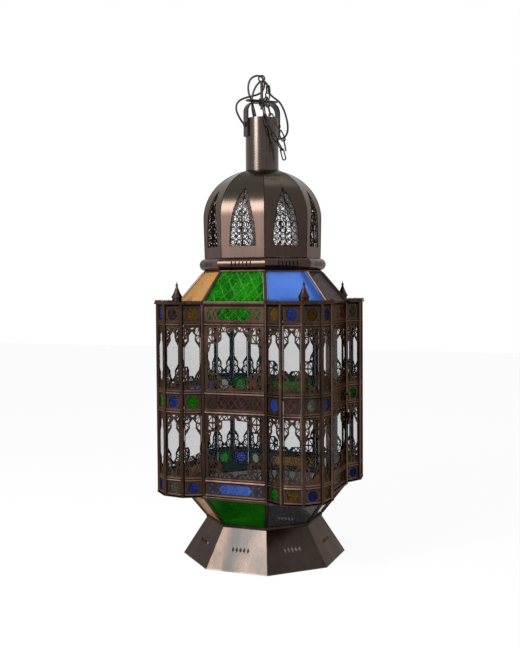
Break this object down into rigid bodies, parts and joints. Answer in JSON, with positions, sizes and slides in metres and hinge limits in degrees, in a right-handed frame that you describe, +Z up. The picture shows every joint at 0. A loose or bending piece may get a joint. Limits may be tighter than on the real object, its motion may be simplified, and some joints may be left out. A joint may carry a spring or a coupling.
{
  "type": "ramadan fanous lantern",
  "caption": "Tall electric lantern of pierced copper and coloured glass: flared base, octagonal cabin with glazed bays and a hinged door, domed top, neck, hanging eye with chain.",
  "frame": {"origin": "middle of the flat base, on the surface that the lantern stands on", "axes": "+Z up along the lantern's axis, +X through the middle of the door, -Y through the pictured front wall"},
  "size_m": [0.3714, 0.3714, 0.9985],
  "materials": {
    "antique_copper": "oxidised copper-coloured brass sheet, worn bright on edges",
    "dark_steel": "blackened steel",
    "glass_green": "embossed cathedral glass, green",
    "glass_blue": "embossed cathedral glass, blue",
    "glass_amber": "embossed cathedral glass, amber",
    "glass_violet": "embossed cathedral glass, violet",
    "glass_rose": "embossed cathedral glass, dark rose",
    "glass_clear": "plain clear glass",
    "flex_sheath": "black sheathed flex",
    "holder_plastic": "moulded black lampholder",
    "bulb_frost": "frosted bulb glass",
    "cap_metal": "screw cap"
  },
  "bodies": {
    "lantern": {"band_glass_amber": "glass_amber", "band_glass_blue": "glass_blue", "band_glass_clear": "glass_clear", "band_glass_green": "glass_green", "band_glass_violet": "glass_violet", "base_hem": "antique_copper", "base_panels": "antique_copper", "bay_band_plates": "antique_copper", "bay_caps": "antique_copper", "bay_crests": "antique_copper", "bay_floors": "antique_copper", "bay_panes": "glass_clear", "bay_posts": "antique_copper", "bay_rails": "antique_copper", "bay_screens": "antique_copper", "chain_upper": "dark_steel", "cone_hips": "antique_copper", "core_posts": "antique_copper", "crown_ring": "antique_copper", "dome_gores": "antique_copper", "dome_ring": "antique_copper", "eave_ring": "antique_copper", "eye_bolt": "dark_steel", "finials": "antique_copper", "hanger_strap": "dark_steel", "hinge_pins": "dark_steel", "inner_lead": "flex_sheath", "lamp_bracket": "dark_steel", "lamp_pipe": "dark_steel", "lampholder": "holder_plastic", "lock_nuts": "dark_steel", "main_band_plates": "antique_copper", "main_panes": "glass_clear", "main_rails": "antique_copper", "main_screens": "antique_copper", "neck_tube": "antique_copper", "post_fittings": "antique_copper", "roof_hips": "antique_copper", "sill_ring": "antique_copper", "sloped_panes_amber": "glass_amber", "sloped_panes_blue": "glass_blue", "sloped_panes_clear": "glass_clear", "sloped_panes_green": "glass_green", "sloped_panes_rose": "glass_rose", "spreader_bar": "dark_steel", "strap_bolts": "dark_steel", "supply_flex": "flex_sheath", "waist_ring": "antique_copper"},
    "door": {"door_frame": "antique_copper", "door_rails": "antique_copper", "door_screens": "antique_copper", "door_panes": "glass_clear", "door_band_glass": "glass_amber", "door_fittings": "antique_copper", "door_knob": "antique_copper"},
    "turn_button": {"turn_button": "antique_copper"},
    "bulb": {"bulb_glass": "bulb_frost", "bulb_cap": "cap_metal"},
    "chain_tail": {"chain_tail": "dark_steel"}
  },
  "joints": [
    {"name": "door_hinge", "type": "hinge", "parent": "lantern", "child": "door", "pos_m": [0.1646, -0.06168, 0.335], "axis": [0, 0, -1], "range_deg": [0, 110]},
    {"name": "latch_turn", "type": "hinge", "parent": "lantern", "child": "turn_button", "pos_m": [0.1646, 0.06627, 0.288], "axis": [-1, 0, 0], "range_deg": [0, 90]},
    {"name": "bulb_turn", "type": "hinge", "parent": "lantern", "child": "bulb", "pos_m": [0, 0, 0.65], "axis": [0, 0, 1], "range_deg": [0, 360]},
    {"name": "chain_swing", "type": "hinge", "parent": "lantern", "child": "chain_tail", "pos_m": [0.02103, -0.02726, 0.93783], "axis": [-0.9337, -0.358, 0], "range_deg": [0, 12]}
  ]
}
